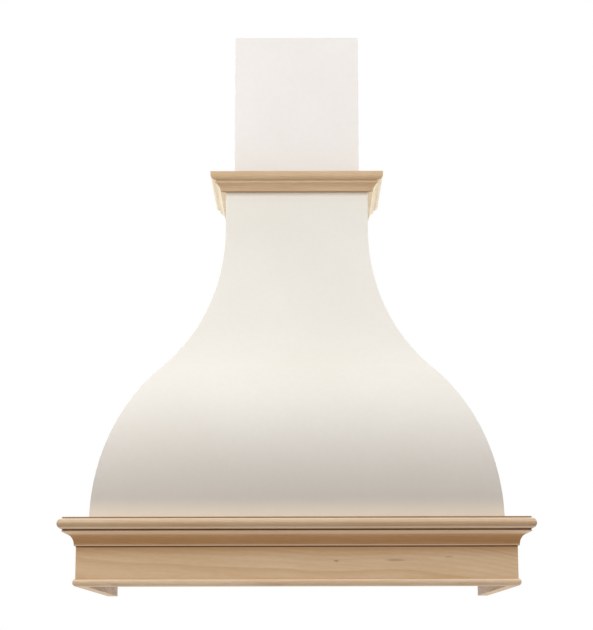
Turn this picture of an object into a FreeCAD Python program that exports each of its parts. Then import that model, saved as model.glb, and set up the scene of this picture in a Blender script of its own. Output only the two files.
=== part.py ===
"""Wooden range hood cover: a maple skirt, a bell-shaped shell, a crown and a telescoping chimney.

Lengths are in millimetres. The back lies on the wall plane (Y = 0) and the front looks towards -Y.
Outlines give heights from the skirt's lower edge. Every sub-part is then set down by the height of
the hanging screws, so that the origin is midway between those screws, on the wall plane.
"""
import FreeCAD, Part
import math
import os
import Sketcher

# ---------------------------------------------------------------- driving dimensions

SIZES = [
    # skirt
    ("skirt_width", 762), ("skirt_depth", 533), ("board", 19), ("frieze_height", 96.5),
    ("bead_height", 12.7), ("bead_reach", 4.5),
    ("cove_height", 27.5), ("cove_reach", 22.5), ("cove_foot", 3.3), ("cove_foot_rise", 2),
    ("cove_radius", 21.2), ("cove_crest_rise", 23.1), ("quirk_height", 2.2), ("quirk_depth", 1),
    ("nose_height", 18.5), ("nose_reach", 30.3), ("undercut_height", 2.1), ("undercut_depth", 1),
    ("lip_height", 0.5), ("lip_reach", 22.5),
    # shell
    ("shell_thick", 12), ("shell_foot", 22), ("shell_top", 809), ("neck_width", 278),
    ("neck_depth", 230), ("neck_height", 105), ("swell_foot", 109),
    ("side_flare_radius", 453), ("front_flare_radius", 380),
    # crown
    ("crown_rise", 3), ("crown_height", 36), ("crown_reach", 29.8), ("crown_foot_reach", 10.4),
    ("crown_foot_rise", 2), ("crown_cove_radius", 20), ("crown_waist_reach", 19.2),
    ("crown_waist_rise", 15), ("crown_fillet_reach", 20.4), ("crown_fillet_height", 3.8),
    ("crown_quirk_reach", 18.6), ("crown_quirk_height", 1.9), ("crown_round_reach", 22.4),
    ("crown_round_height", 6.3), ("crown_round_radius", 8), ("crown_fascia_reach", 29.3),
    # chimney
    ("chimney_rise", 288.4), ("chimney_tuck", 163.6), ("chimney_wall", 9), ("chimney_gap", 4.2),
    ("post_width", 20), ("batten_height", 20), ("spreader_height", 60), ("spreader_thick", 12),
    ("travel_up", 100), ("travel_down", 260), ("landing_gap", 0.4), ("pad_height", 24),
    ("pad_width", 40), ("pad_spread", 70), ("pad_clearance", 0.4), ("strip_height", 20),
    ("strip_clearance", 0.6), ("meeting_gap", 0.5),
    ("ceiling_hole_radius", 2.2), ("ceiling_hole_near", 60), ("ceiling_hole_far", 150),
    # frame inside the shell
    ("rail_width", 38), ("hanging_rail_height", 89), ("rib_drop", 134), ("side_rib_drop", 92),
    ("rib_head_clearance", 4.6), ("rib_spread", 110), ("side_rib_setback", 260),
    ("stud_spacing", 406.4), ("stud_hole_radius", 3),
    # liner panel and the cut-out for the fan insert
    ("cutout_width", 526), ("cutout_depth", 270), ("cutout_setback", 115), ("insert_screw_inset", 16),
    ("insert_hole_radius", 2),
    # screws
    ("screw_radius", 2), ("screw_hole_radius", 2.2), ("screw_head_radius", 4.2),
    ("screw_head_height", 2.4), ("screw_bite", 13), ("screw_hole_bite", 14),
    ("rail_screw_inset", 18), ("rail_screw_spread", 24),
]

# ---------------------------------------------------------------- places worked out from them

LAYOUT = [
    ("half_width", "Sizes.skirt_width / 2"),
    ("shell_half", "Layout.half_width - Sizes.board"),
    ("shell_front", "Sizes.skirt_depth - Sizes.board"),
    ("neck_half", "Sizes.neck_width / 2"),
    ("inner_half", "Layout.shell_half - Sizes.shell_thick"),
    ("inner_front", "Layout.shell_front - Sizes.shell_thick"),
    # the bell is two arcs that meet smoothly: the flare below the neck and the swell above the skirt
    ("flare_top", "Sizes.shell_top - Sizes.neck_height"),
    ("bell_rise", "Layout.flare_top - Sizes.swell_foot"),
    ("side_run", "Layout.shell_half - Layout.neck_half"),
    ("side_radii", "(Layout.bell_rise ^ 2 + Layout.side_run ^ 2) / (2 * Layout.side_run)"),
    ("side_swell_radius", "Layout.side_radii - Sizes.side_flare_radius"),
    ("side_swell_middle", "Layout.shell_half - Layout.side_swell_radius"),
    ("front_run", "Layout.shell_front - Sizes.neck_depth"),
    ("front_radii", "(Layout.bell_rise ^ 2 + Layout.front_run ^ 2) / (2 * Layout.front_run)"),
    ("front_swell_radius", "Layout.front_radii - Sizes.front_flare_radius"),
    ("front_swell_middle", "Layout.shell_front - Layout.front_swell_radius"),
    # skirt
    ("cove_base", "Sizes.frieze_height - Sizes.cove_height"),
    ("nose_radius", "Sizes.nose_height / 2"),
    ("nose_middle", "Sizes.nose_reach - Layout.nose_radius"),
    ("nose_top", "Sizes.frieze_height + Sizes.nose_height"),
    ("lip_foot", "Layout.nose_top + Sizes.undercut_height"),
    ("undercut_reach", "Sizes.lip_reach - Sizes.undercut_depth"),
    ("mantel_top", "Layout.lip_foot + Sizes.lip_height"),
    # crown
    ("crown_top", "Sizes.shell_top + Sizes.crown_rise"),
    ("crown_foot", "Layout.crown_top - Sizes.crown_height"),
    ("crown_fillet_foot", "Layout.crown_foot + Sizes.crown_waist_rise"),
    ("crown_fillet_top", "Layout.crown_fillet_foot + Sizes.crown_fillet_height"),
    ("crown_round_foot", "Layout.crown_fillet_top + Sizes.crown_quirk_height"),
    ("crown_fascia_foot", "Layout.crown_round_foot + Sizes.crown_round_height"),
    # chimney
    ("chimney_half", "Layout.neck_half - Sizes.shell_thick - Sizes.chimney_gap"),
    ("chimney_front", "Sizes.neck_depth - Sizes.shell_thick - Sizes.chimney_gap"),
    ("chimney_top", "Layout.crown_top + Sizes.chimney_rise"),
    ("chimney_foot", "Layout.crown_top - Sizes.chimney_tuck"),
    ("bore_half", "Layout.chimney_half - Sizes.chimney_wall"),
    ("bore_front", "Layout.chimney_front - Sizes.chimney_wall"),
    ("batten_foot", "Layout.chimney_top - Sizes.batten_height"),
    ("pad_foot", "Layout.chimney_foot + Sizes.strip_height + Sizes.travel_up + Sizes.meeting_gap"),
    ("pad_thick", "Sizes.chimney_gap - Sizes.pad_clearance"),
    ("strip_thick", "Sizes.chimney_gap - Sizes.strip_clearance"),
    # frame inside the shell
    ("liner_top", "Sizes.shell_foot + Sizes.board"),
    ("frame_top", "Layout.liner_top + Sizes.board"),
    ("rib_top", "Layout.flare_top - Sizes.rib_drop"),
    ("side_rib_top", "Layout.rib_top - Sizes.side_rib_drop"),
    ("hanging_rail_top", "Layout.chimney_foot - Sizes.travel_down - Sizes.landing_gap"),
    ("hanging_rail_foot", "Layout.hanging_rail_top - Sizes.hanging_rail_height"),
    ("hanging_height", "Layout.hanging_rail_top - Sizes.hanging_rail_height / 2"),
    ("lower_screw_z", "(Layout.liner_top + Sizes.swell_foot) / 2"),
    ("rib_foot_x", "Layout.inner_half - Sizes.rail_width"),
    ("rib_head_x", "Layout.chimney_half + Layout.strip_thick + Sizes.rib_head_clearance"),
    ("rib_foot_y", "Layout.inner_front - Sizes.rail_width"),
    ("rib_head_y", "Layout.chimney_front + Layout.strip_thick + Sizes.rib_head_clearance"),
    ("rib_lean_x", "(Layout.rib_foot_x - Layout.rib_head_x) / (Layout.rib_top - Layout.frame_top)"),
    ("rib_lean_y", "(Layout.rib_foot_y - Layout.rib_head_y) / (Layout.rib_top - Layout.frame_top)"),
    ("stud_half", "Sizes.stud_spacing / 2"),
    # screws, midway between the pieces they pass
    ("skirt_screw_z", "(Layout.frame_top + Sizes.frieze_height) / 2"),
    ("front_screw_near", "Sizes.rib_spread / 2"),
    ("front_screw_far", "(Sizes.rib_spread + Layout.rib_foot_x) / 2"),
    ("side_screw_back", "(2 * Sizes.board + Sizes.side_rib_setback) / 2"),
    ("side_screw_front", "(Sizes.side_rib_setback + Sizes.board + Layout.rib_foot_y) / 2"),
    ("liner_screw_x", "Layout.inner_half - Sizes.rail_width / 2"),
    ("liner_screw_y", "Layout.inner_front - Sizes.rail_width / 2"),
]

# signs of X for the pieces that come in left and right pairs
SIDES = {"left": "-1", "right": "1"}

doc = FreeCAD.newDocument("RangeHoodCover")


def fill_sheet(name, cells, prefix):
    """Write named cells to a sheet: plain numbers, or formulas with the prefix '='."""
    sheet = doc.addObject("Spreadsheet::Sheet", name)
    for row, (alias, content) in enumerate(cells, start=1):
        sheet.set(f"A{row}", alias)
        sheet.set(f"B{row}", f"{prefix}{content}")
        sheet.setAlias(f"B{row}", alias)
    doc.recompute()
    return sheet


fill_sheet("Sizes", SIZES, "")
layout = fill_sheet("Layout", LAYOUT, "=")


def value(formula):
    """The number that a formula on the two sheets gives."""
    return float(layout.evalExpression(formula))


# ---------------------------------------------------------------- bodies, sketches and features

def new_body(name):
    """A body whose heights are given from the skirt's lower edge."""
    body = doc.addObject("PartDesign::Body", name)
    body.Label = name
    body.setExpression("Placement.Base.z", "-Layout.hanging_height")
    return body


def new_sketch(body, role, offset="0"):
    """A sketch on one of the body's own origin planes, moved along the plane's normal."""
    sketch = body.newObject("Sketcher::SketchObject", f"{body.Name}_sketch")
    support = [plane for plane in body.Origin.OriginFeatures if plane.Role == role]
    sketch.AttachmentSupport = [(support[0], "")]
    sketch.MapMode = "FlatFace"
    sketch.setExpression("AttachmentOffset.Base.z", offset)
    return sketch


def arc_between(start, end, radius, turn):
    """The arc from start to end; turn is 1 for anticlockwise, -1 for clockwise."""
    chord = end - start
    reach = math.sqrt(max(radius ** 2 - chord.Length ** 2 / 4, 0))
    across = FreeCAD.Vector(-chord.y, chord.x, 0).normalize()
    centre = (start + end) / 2 + across * reach * turn
    circle = Part.Circle(centre, FreeCAD.Vector(0, 0, 1), radius)
    first, last = (start, end) if turn > 0 else (end, start)
    angles = [math.atan2(point.y - centre.y, point.x - centre.x) for point in (first, last)]
    return Part.ArcOfCircle(circle, *angles)


def pin(sketch, kind, edge, vertex, formula):
    """Hold one coordinate of a corner at a formula, measured from the sketch's origin."""
    index = sketch.addConstraint(Sketcher.Constraint(kind, -1, 1, edge, vertex, value(formula)))
    sketch.setExpression(f"Constraints[{index}]", formula)


def draw_outline(sketch, corners):
    """Draw a closed outline. A corner is (u, v), or (u, v, radius, turn) where an arc starts."""
    first_edge = sketch.GeometryCount
    points = [FreeCAD.Vector(value(corner[0]), value(corner[1]), 0) for corner in corners]
    heads = []
    for number, corner in enumerate(corners):
        start, end = points[number], points[(number + 1) % len(points)]
        if len(corner) == 2:
            sketch.addGeometry(Part.LineSegment(start, end))
            heads.append((1, 2))
        else:
            sketch.addGeometry(arc_between(start, end, value(corner[2]), corner[3]))
            heads.append((1, 2) if corner[3] > 0 else (2, 1))
    for number, corner in enumerate(corners):
        edge = first_edge + number
        following = (number + 1) % len(corners)
        ends = (edge, heads[number][1], first_edge + following, heads[following][0])
        sketch.addConstraint(Sketcher.Constraint("Coincident", *ends))
        pin(sketch, "DistanceX", edge, heads[number][0], corner[0])
        pin(sketch, "DistanceY", edge, heads[number][0], corner[1])
        if len(corner) == 4:
            radius = Sketcher.Constraint("Radius", edge, value(corner[2]))
            sketch.setExpression(f"Constraints[{sketch.addConstraint(radius)}]", corner[2])


def draw_circle(sketch, u, v, radius):
    """Draw a circle with its centre and radius held at formulas."""
    centre = FreeCAD.Vector(value(u), value(v), 0)
    circle = Part.Circle(centre, FreeCAD.Vector(0, 0, 1), value(radius))
    edge = sketch.addGeometry(circle)
    pin(sketch, "DistanceX", edge, 3, u)
    pin(sketch, "DistanceY", edge, 3, v)
    size = sketch.addConstraint(Sketcher.Constraint("Radius", edge, value(radius)))
    sketch.setExpression(f"Constraints[{size}]", radius)


def pad(body, sketch, length, midplane=False):
    """Thicken a sketch along its normal, or to both sides of it."""
    feature = body.newObject("PartDesign::Pad", f"{body.Name}_pad")
    feature.Profile = sketch
    feature.setExpression("Length", length)
    feature.Midplane = midplane


def draw_and_pad(body, role, corners, length, offset="0", midplane=False):
    """Thicken one outline drawn on an origin plane."""
    sketch = new_sketch(body, role, offset)
    draw_outline(sketch, corners)
    pad(body, sketch, length, midplane)


def cut(body, sketch, length):
    """Remove a sketch's outline to both sides of its plane, and make sure that it cuts."""
    doc.recompute()
    before = body.Shape.Volume
    feature = body.newObject("PartDesign::Pocket", f"{body.Name}_cut")
    feature.Profile = sketch
    feature.Midplane = True
    feature.setExpression("Length", length)
    doc.recompute()
    if not body.Shape.Volume < before:
        raise ValueError(f"{feature.Name} removes nothing")


def cut_outline(body, role, corners):
    """Cut an outline right through a body."""
    sketch = new_sketch(body, role)
    draw_outline(sketch, corners)
    cut(body, sketch, "4 * Sizes.shell_top")


def drill(body, role, middle, depth, centres, radius="Sizes.screw_hole_radius"):
    """Drill round holes; middle is how far along the plane's normal the middle of each lies."""
    sketch = new_sketch(body, role, middle)
    for u, v in centres:
        draw_circle(sketch, u, v, radius)
    cut(body, sketch, depth)


def board(name, x, y, z):
    """A straight board. x, y and z are (from, to) pairs; y counts forward from the wall."""
    body = new_body(name)
    corners = [(x[0], z[0]), (x[1], z[0]), (x[1], z[1]), (x[0], z[1])]
    draw_and_pad(body, "XZ_Plane", corners, f"({y[1]}) - ({y[0]})", offset=y[0])
    return body


def mirrored(sign, low, high):
    """A (from, to) pair of X on the left or right side, in rising order."""
    if sign == "1":
        return (low, high)
    return (f"-({high})", f"-({low})")


# ---------------------------------------------------------------- the bell's curve

def bell_curve(kind, inset, foot, head):
    """Corners of the bell's curve going up, from foot to head, moved in from the outer face.

    kind is side or front: the first coordinate counts out from the hood's middle, or forward
    from the wall. foot and head are heights on the upright stretches below and above the bell.
    """
    bottom, neck = {
        "side": ("Layout.shell_half", "Layout.neck_half"),
        "front": ("Layout.shell_front", "Sizes.neck_depth"),
    }[kind]
    swell = f"(Layout.{kind}_swell_radius - ({inset}))"
    share = f"({swell} / Layout.{kind}_radii)"
    run = f"(Layout.{kind}_radii - Layout.{kind}_run)"
    return [
        (f"{bottom} - ({inset})", foot),
        (f"{bottom} - ({inset})", "Sizes.swell_foot", swell, 1),
        (f"Layout.{kind}_swell_middle + {share} * {run}",
         f"Sizes.swell_foot + {share} * Layout.bell_rise",
         f"Sizes.{kind}_flare_radius + ({inset})", -1),
        (f"{neck} - ({inset})", "Layout.flare_top"),
        (f"{neck} - ({inset})", head),
    ]


def reverse_curve(corners):
    """The same curve going down: each arc moves to the corner it now starts from."""
    turned = []
    for number in range(len(corners) - 1, -1, -1):
        arc = corners[number - 1][2:] if number else ()
        turned.append(corners[number][:2] + ((arc[0], -arc[1]) if arc else ()))
    return turned


def negate(corners):
    """Mirror an outline across its second axis."""
    return [(f"-({corner[0]})", corner[1]) + ((corner[2], -corner[3]) if len(corner) == 4 else ())
            for corner in corners]


def on_side(sign, corners):
    """An outline drawn for the plus side of its first axis, or mirrored to the minus side."""
    return corners if sign == "1" else negate(corners)


def band(kind):
    """The outline of a bent panel, seen edge on."""
    outer = bell_curve(kind, "0", "Sizes.shell_foot", "Sizes.shell_top")
    inner = bell_curve(kind, "Sizes.shell_thick", "Sizes.shell_foot", "Sizes.shell_top")
    return outer + reverse_curve(inner)


def outside(kind, inset):
    """The region outside the bell's curve, for trimming what meets it."""
    reach = "2 * Sizes.skirt_width"
    curve = bell_curve(kind, inset, "-Sizes.board", "Sizes.shell_top + Sizes.board")
    return curve + [(reach, "Sizes.shell_top + Sizes.board"), (reach, "-Sizes.board")]


def make_front_panel():
    """The bent front: its ends are trimmed flush with the side panels' outer faces."""
    body = new_body("front_panel")
    draw_and_pad(body, "YZ_Plane", negate(band("front")), "Sizes.skirt_width", midplane=True)
    cut_outline(body, "XZ_Plane", outside("side", "0"))
    cut_outline(body, "XZ_Plane", negate(outside("side", "0")))
    middle = "Layout.shell_front - Sizes.shell_thick / 2"
    drill(body, "XZ_Plane", middle, "Sizes.shell_thick", front_skirt_screws())


def make_side_panel(side, sign):
    """A bent side, from the wall to the inner face of the front panel."""
    body = new_body(f"side_panel_{side}")
    draw_and_pad(body, "XZ_Plane", on_side(sign, band("side")), "Layout.shell_front")
    cut_outline(body, "YZ_Plane", negate(outside("front", "Sizes.shell_thick")))
    middle = f"{sign} * (Layout.shell_half - Sizes.shell_thick / 2)"
    drill(body, "YZ_Plane", middle, "Sizes.shell_thick", side_skirt_screws())


# ---------------------------------------------------------------- strips mitred at the front corners

def mitred_strip(name, profile, half, depth, inner, outer):
    """Three strips round the front and sides of a box, mitred where they meet.

    half and depth give the box's faces. profile gives corners as (reach, height), with reach
    counted outward from those faces. inner and outer are reaches just inside and outside it.
    """
    near = (f"{half} + ({inner})", f"-({depth} + ({inner}))")
    far = (f"{half} + ({outer})", f"-({depth} + ({outer}))")

    def against(face):
        return [(f"{face} + ({corner[0]})",) + corner[1:] for corner in profile]

    front = new_body(f"{name}_front")
    draw_and_pad(front, "YZ_Plane", negate(against(depth)), f"2 * ({far[0]})", midplane=True)
    for sign in SIDES.values():
        cut_outline(front, "XY_Plane", on_side(sign, [near, far, (far[0], near[1])]))
    strips = {"front": front}
    for side, sign in SIDES.items():
        strips[side] = new_body(f"{name}_{side}")
        draw_and_pad(strips[side], "XZ_Plane", on_side(sign, against(half)), f"-({far[1]})")
        cut_outline(strips[side], "XY_Plane", on_side(sign, [near, far, (near[0], far[1])]))
    return strips


def make_frieze():
    """The plain boards of the skirt, fixed to the shell from inside."""
    profile = [("-Sizes.board", "0"), ("0", "0"), ("0", "Sizes.frieze_height"),
               ("-Sizes.board", "Sizes.frieze_height")]
    strips = mitred_strip("frieze", profile, "Layout.half_width", "Sizes.skirt_depth",
                          "-2 * Sizes.board", "Sizes.board")
    middle = "Layout.shell_front + Sizes.screw_hole_bite / 2"
    drill(strips["front"], "XZ_Plane", middle, "Sizes.screw_hole_bite", front_skirt_screws())
    for side, sign in SIDES.items():
        middle = f"{sign} * (Layout.shell_half + Sizes.screw_hole_bite / 2)"
        drill(strips[side], "YZ_Plane", middle, "Sizes.screw_hole_bite", side_skirt_screws())


def make_bead():
    """The rounded bead along the frieze's lower edge."""
    radius = "((Sizes.bead_height / 2) ^ 2 + Sizes.bead_reach ^ 2) / (2 * Sizes.bead_reach)"
    profile = [("0", "0", radius, 1), ("0", "Sizes.bead_height")]
    mitred_strip("bead", profile, "Layout.half_width", "Sizes.skirt_depth",
                 "-Sizes.board", "Sizes.bead_reach + Sizes.board")


def make_cove():
    """The hollow moulding between the frieze and the shelf, with a quirk along its top."""
    base = "Layout.cove_base"
    quirk_foot = "Sizes.frieze_height - Sizes.quirk_height"
    quirk_reach = "Sizes.cove_reach - Sizes.quirk_depth"
    profile = [("0", base), ("Sizes.cove_foot", base),
               ("Sizes.cove_foot", f"{base} + Sizes.cove_foot_rise", "Sizes.cove_radius", -1),
               ("Sizes.cove_reach", f"{base} + Sizes.cove_crest_rise"),
               ("Sizes.cove_reach", quirk_foot), (quirk_reach, quirk_foot),
               (quirk_reach, "Sizes.frieze_height"), ("0", "Sizes.frieze_height")]
    mitred_strip("cove", profile, "Layout.half_width", "Sizes.skirt_depth",
                 "-Sizes.board", "Sizes.cove_reach + Sizes.board")


def make_mantel():
    """The shelf: a rounded nose, and above it an undercut that slopes out to the shelf's edge."""
    nose_middle = "Sizes.frieze_height + Layout.nose_radius"
    profile = [("-Sizes.board", "Sizes.frieze_height"),
               ("Layout.nose_middle", "Sizes.frieze_height", "Layout.nose_radius", 1),
               ("Sizes.nose_reach", nose_middle, "Layout.nose_radius", 1),
               ("Layout.nose_middle", "Layout.nose_top"), ("Layout.undercut_reach", "Layout.nose_top"),
               ("Sizes.lip_reach", "Layout.lip_foot"), ("Sizes.lip_reach", "Layout.mantel_top"),
               ("-Sizes.board", "Layout.mantel_top")]
    mitred_strip("mantel", profile, "Layout.half_width", "Sizes.skirt_depth",
                 "-2 * Sizes.board", "Sizes.nose_reach + Sizes.board")


def make_crown():
    """The moulding round the neck: a hollow, a fillet, a quirk, and a fascia on a rounded foot."""
    base = "Layout.crown_foot"
    profile = [("0", base), ("Sizes.crown_foot_reach", base),
               ("Sizes.crown_foot_reach", f"{base} + Sizes.crown_foot_rise",
                "Sizes.crown_cove_radius", -1),
               ("Sizes.crown_waist_reach", "Layout.crown_fillet_foot"),
               ("Sizes.crown_fillet_reach", "Layout.crown_fillet_foot"),
               ("Sizes.crown_fillet_reach", "Layout.crown_fillet_top"),
               ("Sizes.crown_quirk_reach", "Layout.crown_fillet_top"),
               ("Sizes.crown_quirk_reach", "Layout.crown_round_foot"),
               ("Sizes.crown_round_reach", "Layout.crown_round_foot", "Sizes.crown_round_radius", 1),
               ("Sizes.crown_fascia_reach", "Layout.crown_fascia_foot"),
               ("Sizes.crown_reach", "Layout.crown_top"), ("0", "Layout.crown_top")]
    mitred_strip("crown", profile, "Layout.neck_half", "Sizes.neck_depth",
                 "-Sizes.board", "Sizes.crown_reach + Sizes.board")


# ---------------------------------------------------------------- frame inside the shell

def front_skirt_screws():
    """Places (x, z) of the screws through the front panel's foot into the frieze."""
    columns = ["Layout.front_screw_far", "Layout.front_screw_near"]
    return [(f"{sign} * {column}", "Layout.skirt_screw_z")
            for sign in SIDES.values() for column in columns]


def side_skirt_screws():
    """Places (y, z) of the screws through a side panel's foot into the frieze."""
    rows = ["Layout.side_screw_back", "Layout.side_screw_front"]
    return [(f"-{row}", "Layout.skirt_screw_z") for row in rows]


def liner_screws():
    """Places (x, y) of the screws up through the liner panel, in groups by what they bite."""
    thirds = ["-Layout.front_screw_far", "0", "Layout.front_screw_far"]
    side_rows = ["Layout.side_screw_back", "Layout.side_screw_front"]
    groups = {
        "front": [(x, "-Layout.liner_screw_y") for x in thirds],
        "wall": [(x, "-Sizes.board / 2") for x in thirds],
    }
    for side, sign in SIDES.items():
        groups[side] = [(f"{sign} * Layout.liner_screw_x", f"-{y}") for y in side_rows]
    return groups


def rail_screws():
    """Places (x, z) of the screws through the rear formers into the two wall rails."""
    heights = {
        "hanging": ["Layout.hanging_height - Sizes.rail_screw_spread",
                    "Layout.hanging_height + Sizes.rail_screw_spread"],
        "lower": ["Layout.lower_screw_z", "Layout.lower_screw_z + Sizes.rail_screw_spread"],
    }
    return {rail: [(f"{sign} * ({rib_edge_x(z)} + Sizes.rail_screw_inset)", z)
                   for sign in SIDES.values() for z in rows]
            for rail, rows in heights.items()}


def rib_edge_x(height):
    """How far out the inner edge of the side ribs and rear formers lies at a height."""
    return f"(Layout.rib_foot_x - Layout.rib_lean_x * ({height} - Layout.frame_top))"


def make_rib(name, kind, sign, start, head):
    """A rib across the shell's curve, standing on the base rails, with a straight inner edge."""
    body = new_body(name)
    if kind == "side":
        role, foot, wall, edge = "XZ_Plane", "Layout.rib_foot_x", "Layout.inner_half", rib_edge_x(head)
    else:
        role, foot, wall = "YZ_Plane", "Layout.rib_foot_y", "Layout.inner_front"
        edge = f"(Layout.rib_foot_y - Layout.rib_lean_y * ({head} - Layout.frame_top))"
    outline = [(foot, "Layout.frame_top"), (wall, "Layout.frame_top"), (wall, head), (edge, head)]
    draw_and_pad(body, role, on_side(sign, outline), "Sizes.board", offset=start)
    cut_outline(body, role, on_side(sign, outside(kind, "Sizes.shell_thick")))
    return body


def make_ribs():
    """Rear formers at the wall, a rib halfway along each side and three ribs behind the front."""
    holes = rail_screws()["hanging"] + rail_screws()["lower"]
    for side, sign in SIDES.items():
        former = make_rib(f"rear_former_{side}", "side", sign, "Sizes.board", "Layout.rib_top")
        own = [hole for hole in holes if hole[0].startswith(f"{sign} ")]
        drill(former, "XZ_Plane", "Sizes.board * 1.5", "Sizes.board", own)
        make_rib(f"side_rib_{side}", "side", sign, "Sizes.side_rib_setback", "Layout.side_rib_top")
    for place, share in (("left", "-1"), ("centre", "0"), ("right", "1")):
        start = f"{share} * Sizes.rib_spread - Sizes.board / 2"
        make_rib(f"front_rib_{place}", "front", "-1", start, "Layout.rib_top")


def make_wall_rails():
    """The two boards that are screwed to the wall; the rear formers are screwed to them."""
    across = ("-Layout.inner_half", "Layout.inner_half")
    studs = ["-Layout.stud_half", "Layout.stud_half"]
    rails = {
        "hanging": ("Layout.hanging_rail_foot", "Layout.hanging_rail_top", "Layout.hanging_height"),
        "lower": ("Layout.liner_top", "Sizes.swell_foot", "Layout.lower_screw_z"),
    }
    for rail, (foot, head, hole_z) in rails.items():
        body = board(f"{rail}_rail", across, ("0", "Sizes.board"), (foot, head))
        if rail == "hanging":
            for sign in SIDES.values():
                cut_outline(body, "XZ_Plane", on_side(sign, outside("side", "Sizes.shell_thick")))
        else:
            drill(body, "XY_Plane", "Layout.liner_top + Sizes.screw_hole_bite / 2",
                  "Sizes.screw_hole_bite", liner_screws()["wall"])
        holes = [(x, hole_z) for x in studs]
        drill(body, "XZ_Plane", "Sizes.board / 2", "Sizes.board", holes, "Sizes.stud_hole_radius")
        middle = "Sizes.board - Sizes.screw_hole_bite / 2"
        drill(body, "XZ_Plane", middle, "Sizes.screw_hole_bite", rail_screws()[rail])


def make_base_rails():
    """The ledge round the shell's foot: ribs stand on it and the liner is screwed up into it."""
    height = ("Layout.liner_top", "Layout.frame_top")
    rails = {"front": board("base_rail_front", ("-Layout.inner_half", "Layout.inner_half"),
                            ("Layout.rib_foot_y", "Layout.inner_front"), height)}
    for side, sign in SIDES.items():
        across = mirrored(sign, "Layout.rib_foot_x", "Layout.inner_half")
        rails[side] = board(f"base_rail_{side}", across, ("Sizes.board", "Layout.rib_foot_y"), height)
        board(f"corner_post_{side}", across, ("Layout.rib_foot_y", "Layout.inner_front"),
              ("Layout.frame_top", "Sizes.swell_foot"))
    for name, body in rails.items():
        drill(body, "XY_Plane", "Layout.liner_top + Sizes.screw_hole_bite / 2",
              "Sizes.screw_hole_bite", liner_screws()[name])


def make_liner_panel():
    """The bottom board, with the cut-out and screw holes for a fan insert."""
    body = board("liner_panel", ("-Layout.inner_half", "Layout.inner_half"),
                 ("0", "Layout.inner_front"), ("Sizes.shell_foot", "Layout.liner_top"))
    half, near = "Sizes.cutout_width / 2", "Sizes.cutout_setback"
    far = "Sizes.cutout_setback + Sizes.cutout_depth"
    cut_outline(body, "XY_Plane", [(f"-{half}", f"-({near})"), (half, f"-({near})"),
                                   (half, f"-({far})"), (f"-{half}", f"-({far})")])
    middle = "Sizes.shell_foot + Sizes.board / 2"
    inset = "Sizes.insert_screw_inset"
    corners = [(f"{sign} * ({half} + {inset})", f"-({y})")
               for sign in SIDES.values() for y in (f"{near} - {inset}", f"{far} + {inset}")]
    drill(body, "XY_Plane", middle, "Sizes.board", corners, "Sizes.insert_hole_radius")
    for places in liner_screws().values():
        drill(body, "XY_Plane", middle, "Sizes.board", places)


# ---------------------------------------------------------------- chimney

def make_chimney():
    """The sliding box: three panels, open at the wall, on posts, battens and spreaders."""
    tall = ("Layout.chimney_foot", "Layout.chimney_top")
    post_x = "Layout.bore_half - Sizes.post_width"
    post_y = "Layout.bore_front - Sizes.post_width"
    top = ("Layout.batten_foot", "Layout.chimney_top")
    board("chimney_front", ("-Layout.chimney_half", "Layout.chimney_half"),
          ("Layout.bore_front", "Layout.chimney_front"), tall)
    board("chimney_batten_front", (f"-({post_x})", post_x), (post_y, "Layout.bore_front"), top)
    for side, sign in SIDES.items():
        wall = mirrored(sign, "Layout.bore_half", "Layout.chimney_half")
        inside = mirrored(sign, post_x, "Layout.bore_half")
        board(f"chimney_{side}", wall, ("0", "Layout.bore_front"), tall)
        board(f"chimney_post_{side}", inside, (post_y, "Layout.bore_front"), tall)
        batten = board(f"chimney_batten_{side}", inside, ("Sizes.spreader_thick", post_y), top)
        column = f"{sign} * (Layout.bore_half - Sizes.post_width / 2)"
        holes = [(column, "-Sizes.ceiling_hole_near"), (column, "-Sizes.ceiling_hole_far")]
        drill(batten, "XY_Plane", "Layout.chimney_top - Sizes.batten_height / 2",
              "Sizes.batten_height", holes, "Sizes.ceiling_hole_radius")
    spreaders = {"top": ("Layout.chimney_top - Sizes.spreader_height", "Layout.chimney_top"),
                 "bottom": ("Layout.chimney_foot", "Layout.chimney_foot + Sizes.spreader_height")}
    for place, height in spreaders.items():
        board(f"chimney_spreader_{place}", ("-Layout.bore_half", "Layout.bore_half"),
              ("0", "Sizes.spreader_thick"), height)


def make_stop_strips():
    """Thin strips round the chimney's foot, which meet the guide pads when it is pulled up."""
    height = ("Layout.chimney_foot", "Layout.chimney_foot + Sizes.strip_height")
    outer = "Layout.chimney_half + Layout.strip_thick"
    board("stop_strip_front", (f"-({outer})", outer),
          ("Layout.chimney_front", "Layout.chimney_front + Layout.strip_thick"), height)
    for side, sign in SIDES.items():
        board(f"stop_strip_{side}", mirrored(sign, "Layout.chimney_half", outer),
              ("0", "Layout.chimney_front"), height)


def make_guide_pads():
    """Pairs of thin pads inside the neck, which the chimney slides between."""
    height = "Sizes.pad_height"
    foot, half_pad = "Layout.pad_foot", "Sizes.pad_width / 2"
    inner_x = "Layout.neck_half - Sizes.shell_thick"
    inner_y = "Sizes.neck_depth - Sizes.shell_thick"

    def pair(name, role, start, middle):
        body = new_body(name)
        body.AllowCompound = True
        sketch = new_sketch(body, role, start)
        for sign in SIDES.values():
            centre = f"{middle} + {sign} * Sizes.pad_spread"
            low, high = f"{centre} - {half_pad}", f"{centre} + {half_pad}"
            draw_outline(sketch, [(low, foot), (high, foot), (high, f"{foot} + {height}"),
                                  (low, f"{foot} + {height}")])
        pad(body, sketch, "Layout.pad_thick")

    pair("guide_pads_front", "XZ_Plane", f"{inner_y} - Layout.pad_thick", "0")
    pair("guide_pads_left", "YZ_Plane", f"-({inner_x})", "-Layout.chimney_front / 2")
    pair("guide_pads_right", "YZ_Plane", f"{inner_x} - Layout.pad_thick", "-Layout.chimney_front / 2")


# ---------------------------------------------------------------- screws

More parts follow.
